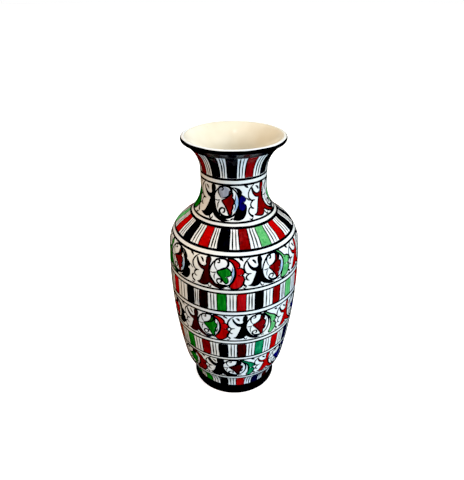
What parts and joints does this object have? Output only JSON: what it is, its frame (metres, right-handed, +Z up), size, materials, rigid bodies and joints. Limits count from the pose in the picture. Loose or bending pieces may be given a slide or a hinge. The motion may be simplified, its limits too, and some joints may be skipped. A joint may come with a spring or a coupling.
{
  "type": "vase",
  "caption": "Hand-painted glazed pottery vase with a turned foot, tall belly, round shoulder, narrow neck and flared mouth.",
  "frame": {"origin": "centre of the standing face of the foot", "axes": "+Z up along the vase's axis of revolution; -Y is the side shown in the front view"},
  "size_m": [0.1412, 0.1412, 0.3],
  "materials": {
    "fired_clay": "matte",
    "white_glaze": "gloss",
    "cream_glaze": "gloss",
    "black_glaze": "gloss"
  },
  "bodies": {
    "root": {"foot_ring": "fired_clay", "base_floor": "fired_clay", "lower_wall": "fired_clay", "belly_lower": "fired_clay", "belly_upper": "fired_clay", "shoulder_wall": "fired_clay", "neck_wall": "fired_clay", "mouth_rim": "fired_clay", "foot_glaze": "black_glaze", "exterior_glaze": "white_glaze", "lip_glaze": "white_glaze", "interior_glaze": "cream_glaze"}
  },
  "joints": []
}
